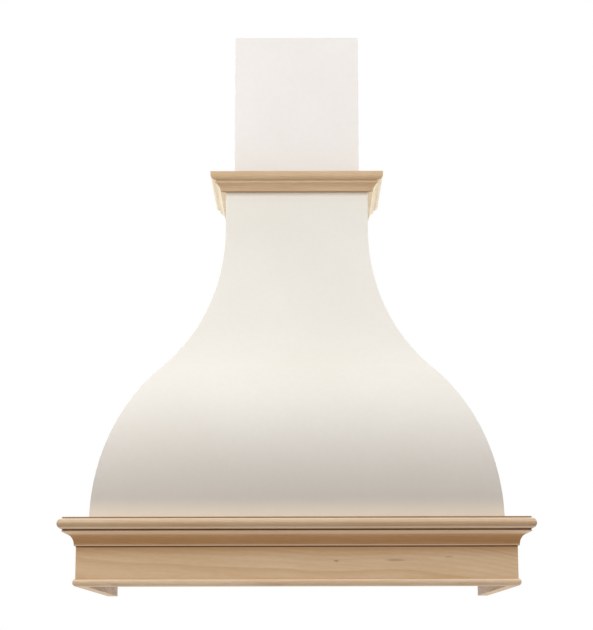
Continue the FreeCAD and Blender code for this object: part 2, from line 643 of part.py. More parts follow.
def add_screws(body, role, seat, heading, length, places):
    """Round-headed screws in one body: heads on the seat, shanks beyond it along the heading."""
    head, shank = "Sizes.screw_head_height", f"({length})"
    starts = {"1": (f"{seat} - {head}", seat), "-1": (seat, f"{seat} - {shank}")}[heading]
    for start, thick, radius in ((starts[0], head, "Sizes.screw_head_radius"),
                                 (starts[1], shank, "Sizes.screw_radius")):
        sketch = new_sketch(body, role, start)
        for u, v in places:
            draw_circle(sketch, u, v, radius)
        pad(body, sketch, thick)


def make_screws():
    """Screws of one kind share a node: through the liner, the shell's foot and the formers."""
    liner = new_body("liner_screws")
    liner.AllowCompound = True
    places = [place for group in liner_screws().values() for place in group]
    add_screws(liner, "XY_Plane", "Sizes.shell_foot", "1", "Sizes.board + Sizes.screw_bite", places)

    skirt = new_body("skirt_screws")
    skirt.AllowCompound = True
    length = "Sizes.shell_thick + Sizes.screw_bite"
    add_screws(skirt, "XZ_Plane", "Layout.inner_front", "1", length, front_skirt_screws())
    add_screws(skirt, "YZ_Plane", "Layout.inner_half", "1", length, side_skirt_screws())
    add_screws(skirt, "YZ_Plane", "-Layout.inner_half", "-1", length, side_skirt_screws())

    rail = new_body("rail_screws")
    rail.AllowCompound = True
    places = [place for group in rail_screws().values() for place in group]
    add_screws(rail, "XZ_Plane", "2 * Sizes.board", "-1", "Sizes.board + Sizes.screw_bite", places)


# ---------------------------------------------------------------- build, test and write

def check_document():
    """Stop if any object failed or any sub-part isn't a sound solid."""
    doc.recompute()
    for item in doc.Objects:
        if "Invalid" in item.State or "Error" in item.State:
            raise ValueError(f"{item.Name} failed: {item.State}")
    for body in doc.findObjects("PartDesign::Body"):
        if body.Shape.isNull() or not body.Shape.isValid() or not body.Shape.Solids:
            raise ValueError(f"{body.Label} is not a sound solid")


def write_parts():
    """Write each sub-part to its own file, named after it."""
    os.makedirs("parts", exist_ok=True)
    for body in doc.findObjects("PartDesign::Body"):
        body.Shape.exportStep(f"parts/{body.Label}.step")


make_front_panel()
for side, sign in SIDES.items():
    make_side_panel(side, sign)
make_frieze()
make_bead()
make_cove()
make_mantel()
make_crown()
make_base_rails()
make_wall_rails()
make_liner_panel()
make_ribs()
make_chimney()
make_stop_strips()
make_guide_pads()
make_screws()
check_document()
write_parts()
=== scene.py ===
"""Looks of the wooden range hood cover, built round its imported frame.

Shapes are given in millimetres as in the part's own source: x from the middle, forward from the
wall and height from the skirt's lower edge. place() turns them into the frame's metres.
"""
import math
import random

import bmesh
import bpy
from mathutils import Matrix, Vector


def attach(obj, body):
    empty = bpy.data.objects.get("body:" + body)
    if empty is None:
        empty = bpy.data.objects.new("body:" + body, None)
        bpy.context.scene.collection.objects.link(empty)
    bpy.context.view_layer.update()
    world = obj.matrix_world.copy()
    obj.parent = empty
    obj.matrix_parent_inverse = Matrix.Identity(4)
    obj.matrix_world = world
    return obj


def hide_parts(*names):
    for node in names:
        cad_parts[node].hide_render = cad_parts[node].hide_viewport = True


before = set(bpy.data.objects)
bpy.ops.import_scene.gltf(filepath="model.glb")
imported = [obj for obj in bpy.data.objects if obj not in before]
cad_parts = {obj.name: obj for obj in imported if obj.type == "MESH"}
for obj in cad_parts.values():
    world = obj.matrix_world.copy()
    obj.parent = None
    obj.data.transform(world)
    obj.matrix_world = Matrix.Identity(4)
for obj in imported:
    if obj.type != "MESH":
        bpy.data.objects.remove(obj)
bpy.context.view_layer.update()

# ---------------------------------------------------------------- sizes in millimetres

HANGING_HEIGHT = 343.5   # how far the frame's origin lies above the skirt's lower edge
HALF, DEPTH, BOARD, FRIEZE = 381.0, 533.0, 19.0, 96.5
SHELL_THICK, SHELL_FOOT, SHELL_TOP = 12.0, 22.0, 809.0
SHELL_HALF, SHELL_FRONT = HALF - BOARD, DEPTH - BOARD
NECK_HALF, NECK_DEPTH = 139.0, 230.0
SWELL_FOOT, FLARE_TOP = 109.0, 704.0
CHIMNEY_HALF, CHIMNEY_FRONT, CHIMNEY_WALL = 122.8, 213.8, 9.0
CHIMNEY_FOOT, CHIMNEY_TOP = 648.4, 1100.4

# for each direction: the coordinate at the foot and at the neck, and the flare's radius
BELL = {"side": (SHELL_HALF, NECK_HALF, 453.0), "front": (SHELL_FRONT, NECK_DEPTH, 380.0)}

# mouldings: reaches count outward from the faces that they are fixed to
BEAD_HEIGHT, BEAD_REACH = 12.7, 4.5
COVE_HEIGHT, COVE_REACH, COVE_FOOT, COVE_FOOT_RISE = 27.5, 22.5, 3.3, 2.0
COVE_RADIUS, COVE_CREST_RISE, QUIRK_HEIGHT, QUIRK_DEPTH = 21.2, 23.1, 2.2, 1.0
NOSE_HEIGHT, NOSE_REACH = 18.5, 30.3
UNDERCUT_HEIGHT, UNDERCUT_DEPTH, LIP_HEIGHT, LIP_REACH = 2.1, 1.0, 0.5, 22.5
CROWN_TOP, CROWN_HEIGHT, CROWN_REACH = 812.0, 36.0, 29.8
CROWN_FOOT_REACH, CROWN_FOOT_RISE, CROWN_COVE_RADIUS = 10.4, 2.0, 20.0
CROWN_WAIST_REACH, CROWN_WAIST_RISE = 19.2, 15.0
CROWN_FILLET_REACH, CROWN_FILLET_HEIGHT = 20.4, 3.8
CROWN_QUIRK_REACH, CROWN_QUIRK_HEIGHT = 18.6, 1.9
CROWN_ROUND_REACH, CROWN_ROUND_HEIGHT, CROWN_ROUND_RADIUS = 22.4, 6.3, 8.0
CROWN_FASCIA_REACH = 29.3

# heights that the mouldings and their bands of tone share
COVE_BASE, MANTEL_TOP = FRIEZE - COVE_HEIGHT, FRIEZE + NOSE_HEIGHT
CROWN_FOOT = CROWN_TOP - CROWN_HEIGHT
CROWN_FLUTE = CROWN_FOOT + CROWN_WAIST_RISE + CROWN_FILLET_HEIGHT

ARRIS = 1.1          # rounding of the painted corners
EASING = 0.5         # rounding of sanded edges
PANEL_EASING = 0.8   # rounding of the edges of the chimney's panels
MITRE_GROOVE = 0.22  # how far a strip's ends are eased, which shows as a hairline at a joint


def place(x, forward, height):
    """A point of the frame, in metres."""
    return Vector((x / 1000, -forward / 1000, (height - HANGING_HEIGHT) / 1000))


def place_of(point):
    """The opposite of place(): a point's x, forward and height, in millimetres."""
    return point.x * 1000, -point.y * 1000, point.z * 1000 + HANGING_HEIGHT


# ---------------------------------------------------------------- node trees

def linear(red, green, blue):
    """A colour written as it shows on screen, 0 to 255, as the four numbers a shader takes."""
    def channel(value):
        value /= 255
        return value / 12.92 if value <= 0.04045 else ((value + 0.055) / 1.055) ** 2.4
    return (channel(red), channel(green), channel(blue), 1.0)


materials = {}


def new_tree(name):
    """The empty node tree of a new material, which is kept in materials under its name."""
    material = bpy.data.materials.new(name)
    material.use_nodes = True
    material.node_tree.nodes.clear()
    materials[name] = material
    return material.node_tree


def fill(tree, socket, value):
    """Give a socket a constant, or link another socket to it."""
    if isinstance(value, bpy.types.NodeSocket):
        tree.links.new(value, socket)
    else:
        socket.default_value = value


def add(tree, kind, inputs=None, **settings):
    """A shader node with its inputs filled by name or number."""
    made = tree.nodes.new("ShaderNode" + kind)
    for key, value in settings.items():
        setattr(made, key, value)
    for key, value in (inputs or {}).items():
        fill(tree, made.inputs[key], value)
    return made


def calc(tree, operation, *values):
    """A Math node's result."""
    return add(tree, "Math", dict(enumerate(values)), operation=operation).outputs[0]


def vector_calc(tree, operation, *values):
    """A Vector Math node's result."""
    made = add(tree, "VectorMath", dict(enumerate(values)), operation=operation)
    return made.outputs["Value" if operation == "LENGTH" else "Vector"]


def weigh(tree, *pairs):
    """The sum of values, each times its weight."""
    parts = [calc(tree, "MULTIPLY", value, weight) for value, weight in pairs]
    total = parts.pop()
    while parts:
        total = calc(tree, "ADD", parts.pop(), total)
    return total


def remap(tree, value, low=0.3, high=0.7, to_low=0.0, to_high=1.0):
    """A value moved smoothly from one range to another, and kept inside it.

    The range that it comes from is, unless given, the one that holds most of a noise's values.
    """
    inputs = {"Value": value, "From Min": low, "From Max": high,
              "To Min": to_low, "To Max": to_high}
    return add(tree, "MapRange", inputs, interpolation_type="SMOOTHSTEP").outputs[0]


def blend(tree, factor, first, second, mode="MIX"):
    """Two colours mixed."""
    inputs = {0: factor, 6: first, 7: second}
    return add(tree, "Mix", inputs, data_type="RGBA", blend_type=mode).outputs[2]


def blend_numbers(tree, factor, first, second):
    """Two numbers mixed."""
    return add(tree, "Mix", {0: factor, 2: first, 3: second}).outputs[0]


def stretched_noise(tree, vector, scales, detail=2.0, roughness=0.5):
    """Noise with its own scale, per metre, along each of three directions."""
    scaled = vector_calc(tree, "MULTIPLY", vector, scales)
    inputs = {"Vector": scaled, "Scale": 1.0, "Detail": detail, "Roughness": roughness}
    return add(tree, "TexNoise", inputs).outputs["Fac"]


def even_noise(tree, vector, scale, detail=2.0, roughness=0.5):
    """Noise with the same scale, per metre, in every direction."""
    return stretched_noise(tree, vector, (scale, scale, scale), detail, roughness)


def object_space(tree):
    """Coordinates of the frame, in metres."""
    return add(tree, "TexCoord").outputs["Object"]


def grain_space(tree):
    """The piece's own coordinates: along the grain, across it, and into the board."""
    return add(tree, "Attribute", attribute_name="grain").outputs["Vector"]


def split(tree, vector):
    """The three parts of a vector."""
    return add(tree, "SeparateXYZ", {0: vector}).outputs


def link_output(tree, shader, kind="Material"):
    """The end of a material's or a world's tree."""
    tree.links.new(shader.outputs[0], add(tree, "Output" + kind).inputs[0])


def finish_surface(tree, colour, roughness, height, depth, specular=0.4):
    """The shader and the material's output. depth is the height's full swing in metres."""
    bump = add(tree, "Bump", {"Height": height, "Distance": depth, "Strength": 1.0})
    shader = add(tree, "BsdfPrincipled", {
        "Base Color": colour, "Roughness": roughness, "Normal": bump.outputs[0],
        "Specular IOR Level": specular})
    link_output(tree, shader)
    return shader


def painted_light_bands(tree, colour, bands):
    """Level bands of painted light and shade: dark in crevices and hollows, pale where light falls.

    Each has its middle height and half its width in millimetres, the share of that width that is
    even, a colour and a strength.
    """
    level = split(tree, object_space(tree))[2]
    for height, half_width, core, tone, strength in bands:
        away = calc(tree, "ABSOLUTE", calc(tree, "SUBTRACT", level, place(0, 0, height).z))
        band = remap(tree, away, half_width / 1000, core * half_width / 1000, 0.0, strength)
        colour = blend(tree, band, colour, tone)
    return colour


# ---------------------------------------------------------------- kinds of material

KNOT = linear(104, 36, 0)
KNOT_DEPTH = 0.125      # how deep a knot or smear goes into the board, in metres
PITH_DEPTH = 0.075      # how far the growth rings' centre lies behind the board, in metres
PITH_WANDER = 0.16      # how far it strays across the board
PITH_DRIFT = 0.010      # how far it strays towards the board and away
RAGGED_RINGS = 0.0009   # how uneven a growth ring's edge is
PLY = 0.00146           # thickness of one ply of the plywood, in metres

# painted shade low on the bell: below the second height the shell's paint is multiplied by this
# tint, above the first it isn't
LOW_SHADE, LOW_SHADE_FROM, LOW_SHADE_TO = (0.80, 0.775, 0.765, 1.0), 370.0, 180.0


def growth_rings(tree, grain, lean, spacing):
    """How far through its year the wood is, from 0 to 1, and how dark its late wood is.

    The rings' centre wanders along the board, which opens them into long arches. lean is how far
    the fibres have run off sideways, and spacing the width of one year.
    """
    _, across, into = split(tree, grain)
    wander = stretched_noise(tree, grain, (1.7, 0.6, 0.6), 1.0)
    drift = stretched_noise(tree, grain, (3.1, 5.0, 5.0))
    offset = calc(tree, "MULTIPLY", calc(tree, "SUBTRACT", wander, 0.5), PITH_WANDER)
    side = calc(tree, "ADD", calc(tree, "ADD", across, offset), lean)
    depth = calc(tree, "ADD", PITH_DEPTH, calc(tree, "MULTIPLY", drift, PITH_DRIFT))
    deep = calc(tree, "ADD", into, depth)
    reach = calc(tree, "SQRT", calc(tree, "ADD", calc(tree, "MULTIPLY", side, side),
                                    calc(tree, "MULTIPLY", deep, deep)))
    ragged = calc(tree, "MULTIPLY", stretched_noise(tree, grain, (14, 160, 160)), RAGGED_RINGS)
    years = calc(tree, "DIVIDE", calc(tree, "ADD", reach, ragged), spacing)
    share = calc(tree, "FRACT", years)
    late = calc(tree, "MULTIPLY", remap(tree, share, 0.25, 0.86), remap(tree, share, 1.0, 0.93))
    year = add(tree, "TexWhiteNoise", {"W": calc(tree, "FLOOR", years)}, noise_dimensions="1D")
    strength = remap(tree, year.outputs[0], 0.0, 1.0, 0.25, 1.0)
    return share, calc(tree, "MULTIPLY", late, strength)


def dark_marks(tree, colour, grain, streak, marks):
    """Knots and smears, each with a place in grain space, a length, a height and a strength."""
    uneven = calc(tree, "MULTIPLY", calc(tree, "SUBTRACT", streak, 0.5), 1.4)
    for centre, length, height, strength in marks:
        away = vector_calc(tree, "SUBTRACT", grain, centre)
        scaled = vector_calc(tree, "MULTIPLY", away, (1 / length, 1 / height, 1 / KNOT_DEPTH))
        far = calc(tree, "ADD", vector_calc(tree, "LENGTH", scaled), uneven)
        colour = blend(tree, remap(tree, far, 1.0, 0.25, 0.0, strength), colour, KNOT)
    return colour


def solid_wood(name, tones, spacing, rings, fibres, marks=(), bands=(), slope=0.035):
    """Sawn wood with growth rings, fibres and small flecks, a little worn along its edges.

    tones are the pale, the dark and the ring colour, and rings and fibres how strongly these show.
    slope is how far the fibres run off the board.
    """
    pale, dark, ring_colour = tones
    tree = new_tree(name)
    grain = grain_space(tree)
    along, across, into = split(tree, grain)
    lean = calc(tree, "MULTIPLY", along, slope)
    leant = calc(tree, "ADD", across, lean)
    flow = add(tree, "CombineXYZ", {0: along, 1: leant, 2: into}).outputs[0]
    share, late = growth_rings(tree, grain, lean, spacing)

    fibre = stretched_noise(tree, flow, (22, 1300, 1300), 3.0, 0.62)
    streak = stretched_noise(tree, flow, (11, 270, 270), 3.0, 0.62)
    blotch = stretched_noise(tree, flow, (4.5, 17, 17))
    curl = stretched_noise(tree, grain, (60, 240, 240), 2.0, 0.6)
    flecks = stretched_noise(tree, grain, (190, 1500, 1500), 1.0)
    pores = remap(tree, fibre, 0.58, 0.8)

    tone = weigh(tree, (remap(tree, streak, 0.3, 0.72), 0.40), (remap(tree, blotch), 0.40),
                 (remap(tree, curl), 0.30))
    colour = blend(tree, tone, pale, dark)
    for strength in (calc(tree, "MULTIPLY", late, rings), calc(tree, "MULTIPLY", pores, fibres),
                     remap(tree, flecks, 0.74, 0.82, 0.0, 0.30)):
        colour = blend(tree, strength, colour, ring_colour)
    colour = dark_marks(tree, colour, grain, streak, marks)
    worn = add(tree, "Attribute", attribute_name="edge").outputs["Fac"]
    colour = blend(tree, calc(tree, "MULTIPLY", worn, 0.25), colour, pale)
    # painted shade and painted highlights, in level bands
    colour = painted_light_bands(tree, colour, bands)
    roughness = remap(tree, fibre, 0.2, 0.8, 0.44, 0.58)
    height = weigh(tree, (share, 0.25), (pores, -0.75))
    finish_surface(tree, colour, roughness, height, 0.00005, specular=0.5)


def paint(name, colour, shade, bands=()):
    """Sprayed satin primer: soft clouds in the tone, orange peel and a few dust nibs."""
    tree = new_tree(name)
    here = object_space(tree)
    cloud = even_noise(tree, here, 5, 3.0, 0.55)
    mottle = even_noise(tree, here, 95, 3.0, 0.6)
    peel = even_noise(tree, here, 420)
    grit = even_noise(tree, here, 1500, 1.0)
    nibs = remap(tree, even_noise(tree, here, 260, 0.0), 0.80, 0.86)
    tone = weigh(tree, (remap(tree, cloud), 0.65), (remap(tree, mottle), 0.35))
    tint = blend(tree, tone, colour, shade)
    # painted shade: the paint grows darker down the bell's lower swell
    low = remap(tree, split(tree, here)[2], place(0, 0, LOW_SHADE_FROM).z, place(0, 0, LOW_SHADE_TO).z)
    tint = blend(tree, low, tint, blend(tree, 1.0, tint, LOW_SHADE, "MULTIPLY"))
    # painted bounce light from the wood, in level bands
    tint = painted_light_bands(tree, tint, bands)
    roughness = remap(tree, mottle, 0.25, 0.75, 0.44, 0.56)
    height = weigh(tree, (peel, 0.8), (grit, 0.12), (nibs, 0.6))
    finish_surface(tree, tint, roughness, height, 0.00006, specular=0.35)


def fibreboard(name, pale, dark, speck):
    """Bare fibreboard: even, with fine flecks."""
    tree = new_tree(name)
    here = object_space(tree)
    cloud = even_noise(tree, here, 9, 3.0)
    fluff = even_noise(tree, here, 700, 3.0, 0.7)
    specks = remap(tree, even_noise(tree, here, 900, 0.0), 0.74, 0.84)
    tone = weigh(tree, (remap(tree, cloud), 0.4), (remap(tree, fluff), 0.6))
    colour = blend(tree, tone, pale, dark)
    colour = blend(tree, calc(tree, "MULTIPLY", specks, 0.5), colour, speck)
    roughness = remap(tree, fluff, to_low=0.72, to_high=0.86)
    finish_surface(tree, colour, roughness, fluff, 0.00008, specular=0.25)


def plywood_edge(name, pale, dark, glue):
    """The sawn edge of plywood: thin plies with the grain turned in every other one."""
    tree = new_tree(name)
    grain = grain_space(tree)
    waver = calc(tree, "MULTIPLY", even_noise(tree, grain, 25), 0.0004)
    plies = calc(tree, "DIVIDE", calc(tree, "ADD", split(tree, grain)[2], waver), PLY)
    turned = calc(tree, "MODULO", calc(tree, "FLOOR", plies), 2.0)
    end_grain = stretched_noise(tree, grain, (1100, 1100, 500), 2.0, 0.6)
    long_grain = stretched_noise(tree, grain, (40, 40, 1400), 2.0, 0.6)
    even_ply = blend(tree, remap(tree, long_grain), pale, blend(tree, 0.5, pale, dark))
    odd_ply = blend(tree, remap(tree, end_grain), dark, blend(tree, 0.45, pale, dark))
    colour = blend(tree, calc(tree, "GREATER_THAN", turned, 0.5), even_ply, odd_ply)
    line = calc(tree, "MULTIPLY", remap(tree, calc(tree, "FRACT", plies), 0.90, 0.97), 0.75)
    colour = blend(tree, line, colour, glue)
    height = calc(tree, "SUBTRACT", end_grain, line)
    finish_surface(tree, colour, 0.78, height, 0.0001, specular=0.2)


def slip_plastic(name, colour, shade):
    """Smooth low-friction strip, slightly scuffed along the way it rubs."""
    tree = new_tree(name)
    here = object_space(tree)
    scuffs = stretched_noise(tree, here, (600, 600, 12), 2.0, 0.6)
    tint = blend(tree, remap(tree, even_noise(tree, here, 40), 0.35, 0.65), colour, shade)
    roughness = remap(tree, scuffs, to_low=0.30, to_high=0.48)
    finish_surface(tree, tint, roughness, scuffs, 0.00002)


def plated_steel(name, pale, dark):
    """Zinc-plated screws: bright, mottled, slightly dull in places."""
    tree = new_tree(name)
    spangle = even_noise(tree, object_space(tree), 900, 3.0, 0.7)
    colour = blend(tree, remap(tree, spangle, 0.35, 0.65), pale, dark)
    roughness = remap(tree, spangle, to_low=0.26, to_high=0.42)
    shader = finish_surface(tree, colour, roughness, spangle, 0.00001)
    shader.inputs["Metallic"].default_value = 1.0


# ---------------------------------------------------------------- the materials

# pale, dark and ring colour of each wood
MAPLE = (linear(232, 206, 172), linear(216, 184, 146), linear(186, 146, 104))
# maple darkened for the skirt's inner faces: painted shade
SHADED_MAPLE = (linear(206, 178, 150), linear(158, 124, 96), linear(122, 84, 52))
PINE_TONES = (linear(232, 204, 158), linear(218, 184, 132), linear(190, 138, 82))
PLY_FACE = (linear(226, 202, 164), linear(210, 182, 140), linear(176, 136, 92))

# tones of the bands: painted shade in crevices, warm painted shade, painted highlight and painted
# bounce light
CREVICE_SHADE, SHADED = linear(112, 58, 0), linear(178, 110, 14)
PAINTED_HIGHLIGHT, PAINTED_BOUNCE = linear(244, 222, 190), linear(250, 241, 226)

# a knot, a smear and two faint specks on the front board: each one's place in grain space from
# the board's lower middle, its length and its height, in metres, and its strength
FRIEZE_MARKS = (
    ((0.068, 0.043, 0.0), 0.006, 0.0026, 0.62),
    ((0.171, 0.044, 0.0), 0.022, 0.0030, 0.45),
    ((0.134, 0.070, 0.0), 0.016, 0.0040, 0.25),
    ((0.262, 0.050, 0.0), 0.010, 0.0022, 0.28),
)

# bands of painted shade and painted highlight, as the band function takes them
# painted shadow below the cove, and painted shade in the corner under the cove's foot
FRIEZE_BANDS = [(COVE_BASE, 22.0, 0.0, SHADED, 0.45), (COVE_BASE - 1.1, 1.6, 0.5, CREVICE_SHADE, 0.93)]
# painted shade in the cove's hollow and in the quirk under the nose, painted highlights on its
# crest and along its foot
COVE_BANDS = [(COVE_BASE + 10.0, 10.0, 0.3, SHADED, 0.38), (FRIEZE - 5.6, 4.2, 0.3, PAINTED_HIGHLIGHT, 0.62),
              (COVE_BASE + 1.0, 1.6, 0.4, PAINTED_HIGHLIGHT, 0.52), (FRIEZE - 1.3, 1.5, 0.65, CREVICE_SHADE, 1.0)]
# painted shade on the nose's lower half and in the undercut below the lip, painted highlights on
# the nose's lower rim and top
MANTEL_BANDS = [(FRIEZE + 6.6, 6.0, 0.4, SHADED, 0.30), (FRIEZE + 2.2, 1.7, 0.4, PAINTED_HIGHLIGHT, 0.55),
                (MANTEL_TOP - 0.8, 1.7, 0.4, PAINTED_HIGHLIGHT, 0.45),
                (MANTEL_TOP + UNDERCUT_HEIGHT / 2 + 0.2, 1.35, 0.5, CREVICE_SHADE, 0.45)]
# a painted highlight in the quirk over the fillet, painted shade along the foot where the crown
# meets the neck
CROWN_BANDS = [(CROWN_FLUTE + 0.8, 1.6, 0.4, PAINTED_HIGHLIGHT, 0.50),
               (CROWN_FOOT + 0.3, 1.3, 0.5, CREVICE_SHADE, 0.40)]
# painted shade along the bead's top, where it meets the board, and a painted highlight just below
BEAD_BANDS = [(BEAD_HEIGHT, 1.6, 0.4, SHADED, 0.40), (BEAD_HEIGHT - 2.3, 1.5, 0.4, PAINTED_HIGHLIGHT, 0.35)]
# painted bounce light from the wood: paler paint just above the mantel and just below the crown
PAINT_BANDS = [(MANTEL_TOP + 3.0, 40.0, 0.0, PAINTED_BOUNCE, 0.64), (CROWN_FOOT, 14.0, 0.3, PAINTED_BOUNCE, 0.60)]

MAPLE_GRAIN = {"spacing": 0.0042, "rings": 0.30, "fibres": 0.23}

# how each maple board differs from MAPLE in red, green and blue and from MAPLE_GRAIN, and what
# is on it
MAPLE_BOARDS = {
    "maple_frieze": {"tint": (1.01, 0.95, 0.88), "marks": FRIEZE_MARKS, "bands": FRIEZE_BANDS,
                     "rings": 0.42, "slope": 0.08},
    "maple_frieze_side": {"tint": (0.99, 0.94, 0.87), "bands": FRIEZE_BANDS},
    "maple_bead": {"tint": (1.00, 1.00, 1.04), "bands": BEAD_BANDS},
    # the cove's tint is darker and browner than the other boards': painted shade over its hollow
    "maple_cove": {"tint": (0.82, 0.66, 0.51), "bands": COVE_BANDS},
    "maple_mantel": {"tint": (0.81, 0.82, 0.85), "bands": MANTEL_BANDS},
    # the front crown's tint is darker than its returns': painted shade
    "maple_crown": {"tint": (0.725, 0.69, 0.64), "bands": CROWN_BANDS},
    # the returns' tint is paler: painted light, as if lit from the sides
    "maple_crown_side": {"tint": (1.22, 1.45, 1.70)},
    # the returns' undersides tinted paler than the front crown: painted light
    "maple_crown_foot": {"tint": (1.08, 1.18, 1.28)},
}


def make_materials():
    """Every finish of the hood."""
    for name, look in MAPLE_BOARDS.items():
        look = MAPLE_GRAIN | look
        tint = look.pop("tint")
        tones = [tuple(part * share for part, share in zip(tone, tint)) + (1.0,) for tone in MAPLE]
        solid_wood(name, tones, **look)
    solid_wood("maple_inside_shaded", SHADED_MAPLE, spacing=0.0050, rings=0.60, fibres=0.45)
    solid_wood("pine", PINE_TONES, spacing=0.0034, rings=0.6, fibres=0.2)
    solid_wood("ply_face", PLY_FACE, spacing=0.0080, rings=0.32, fibres=0.3)
    plywood_edge("ply_edge", linear(218, 190, 148), linear(176, 140, 98), linear(104, 70, 44))
    fibreboard("board", linear(184, 152, 116), linear(164, 130, 94), linear(98, 72, 48))
    paint("paint", linear(224, 220, 212), linear(221, 216, 207), PAINT_BANDS)
    paint("chimney_paint", linear(224, 220, 216), linear(221, 216, 211))
    slip_plastic("slip", linear(232, 230, 224), linear(224, 221, 212))
    plated_steel("zinc", linear(196, 196, 190), linear(168, 170, 168))


make_materials()

# ---------------------------------------------------------------- meshes

chance = random.Random(11)

CREASE = 32.0                   # edges that turn by more degrees than this stay crisp
ARC_STEP = 4.0                  # degrees between the points of an arc
SHARP_CORNER = 24.0             # corners that turn by fewer degrees aren't eased
EASING_STEPS = 4                # faces round an eased corner
GRAIN_SPREAD = (2, 2, 0.02)     # how far off a board's place in grain space may be, in metres
WELD = 0.00001                  # points of a CAD mesh nearer than this are one, in metres

AXES = {"x": Vector((1, 0, 0)), "y": Vector((0, 1, 0)), "z": Vector((0, 0, 1))}
FACING = {"x": "y", "y": "x", "z": "x"}   # which way a solid board's face looks, for each run


def shade_by_angle(bm):
    """Smooth faces, with the sharp edges kept crisp."""
    for face in bm.faces:
        face.smooth = True
    for edge in bm.edges:
        if len(edge.link_faces) == 2:
            edge.smooth = edge.calc_face_angle(0.0) < math.radians(CREASE)


def grain_frame(run, layers):
    """Axes of grain space for a run along x, y or z, with its boards' faces seen along layers."""
    rest = [key for key in "xyz" if key not in (run, layers)]
    return Matrix((AXES[run], AXES[rest[0]], AXES[layers]))


def make_piece(name, bm, body, node, surfaces, run="x", layers="z", home=None):
    """A finished piece that rides on a body and stands for a CAD node.

    surfaces are the materials' names in the order of the faces' indices. home is the origin of
    grain space: without one it lies at a random place, so that no two pieces share their grain.
    """
    bmesh.ops.recalc_face_normals(bm, faces=bm.faces)
    shade_by_angle(bm)
    turn, start = grain_frame(run, layers), Vector()
    if home is None:
        home, start = Vector(), Vector([chance.uniform(-spread, spread) for spread in GRAIN_SPREAD])
    grain = bm.verts.layers.float_vector.new("grain")
    for vert in bm.verts:
        vert[grain] = turn @ (vert.co - home) + start
    mesh = bpy.data.meshes.new(name)
    bm.to_mesh(mesh)
    bm.free()
    for surface in surfaces:
        mesh.materials.append(materials[surface])
    piece = bpy.data.objects.new(name, mesh)
    bpy.context.scene.collection.objects.link(piece)
    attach(piece, body)
    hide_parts(node)


def arc_points(start, end, radius, turn):
    """Points from start along an arc towards end, end left out. turn 1 is anticlockwise."""
    start, end = Vector(start), Vector(end)
    chord = end - start
    sink = math.sqrt(max(radius ** 2 - chord.length ** 2 / 4, 0.0))
    centre = (start + end) / 2 + Vector((-chord.y, chord.x)).normalized() * sink * turn
    first = math.atan2(start.y - centre.y, start.x - centre.x)
    sweep = (math.atan2(end.y - centre.y, end.x - centre.x) - first) * turn % (2 * math.pi) * turn
    count = max(3, round(abs(math.degrees(sweep)) / ARC_STEP))
    return [centre + radius * Vector((math.cos(first + sweep * k / count),
                                      math.sin(first + sweep * k / count))) for k in range(count)]


def trace(corners):
    """A closed outline from corners (u, v), or (u, v, radius, turn) where an arc starts."""
    points = []
    for corner, following in zip(corners, corners[1:] + corners[:1]):
        if len(corner) == 4:
            points += arc_points(corner[:2], following[:2], corner[2], corner[3])
        else:
            points.append(Vector(corner))
    return points


def with_neighbours(points):
    """(the one before, the point, the one after) all round a closed outline."""
    return zip(points[-1:] + points[:-1], points, points[1:] + points[:1])


def ease(points, radius=EASING):
    """Round the outward corners of an anticlockwise outline. Returns points and edge marks."""
    rounded = []
    for before, corner, after in with_neighbours(points):
        arriving, leaving = corner - before, after - corner
        bend = -arriving.angle_signed(leaving, 0.0)
        if math.degrees(bend) < SHARP_CORNER:
            rounded.append((corner, 0.0))
            continue
        back = min(radius * math.tan(bend / 2), 0.4 * arriving.length, 0.4 * leaving.length)
        start = corner - arriving.normalized() * back
        end = corner + leaving.normalized() * back
        for k in range(EASING_STEPS + 1):
            share = k / EASING_STEPS
            near, far = start.lerp(corner, share), corner.lerp(end, share)
            rounded.append((near.lerp(far, share), 1.0))
    return zip(*rounded)


def shrink(points, inset):
    """An anticlockwise outline moved inward."""
    moved = []
    for before, corner, after in with_neighbours(points):
        across = (corner - before).normalized() + (after - corner).normalized()
        inward = Vector((-across.y, across.x))
        moved.append(corner + inward.normalized() * inset if inward.length else corner)
    return moved


def join_rows(bm, rows):
    """Four-sided faces between closed rows of vertices."""
    for lower, upper in zip(rows, rows[1:]):
        for index in range(len(lower)):
            following = (index + 1) % len(lower)
            bm.faces.new((lower[index], lower[following], upper[following], upper[index]))


def skin(rings, marks=None):
    """A closed mesh of rings of points, capped at both ends. marks tell where edges are eased."""
    bm = bmesh.new()
    edge = bm.verts.layers.float.new("edge")
    rows = []
    for number, ring in enumerate(rings):
        row = [bm.verts.new(point) for point in ring]
        for index, vert in enumerate(row):
            at_end = number in (0, len(rings) - 1)
            vert[edge] = 1.0 if at_end else (marks[index] if marks else 0.0)
        rows.append(row)
    join_rows(bm, rows)
    bm.faces.new(rows[0][::-1])
    bm.faces.new(rows[-1])
    return bm


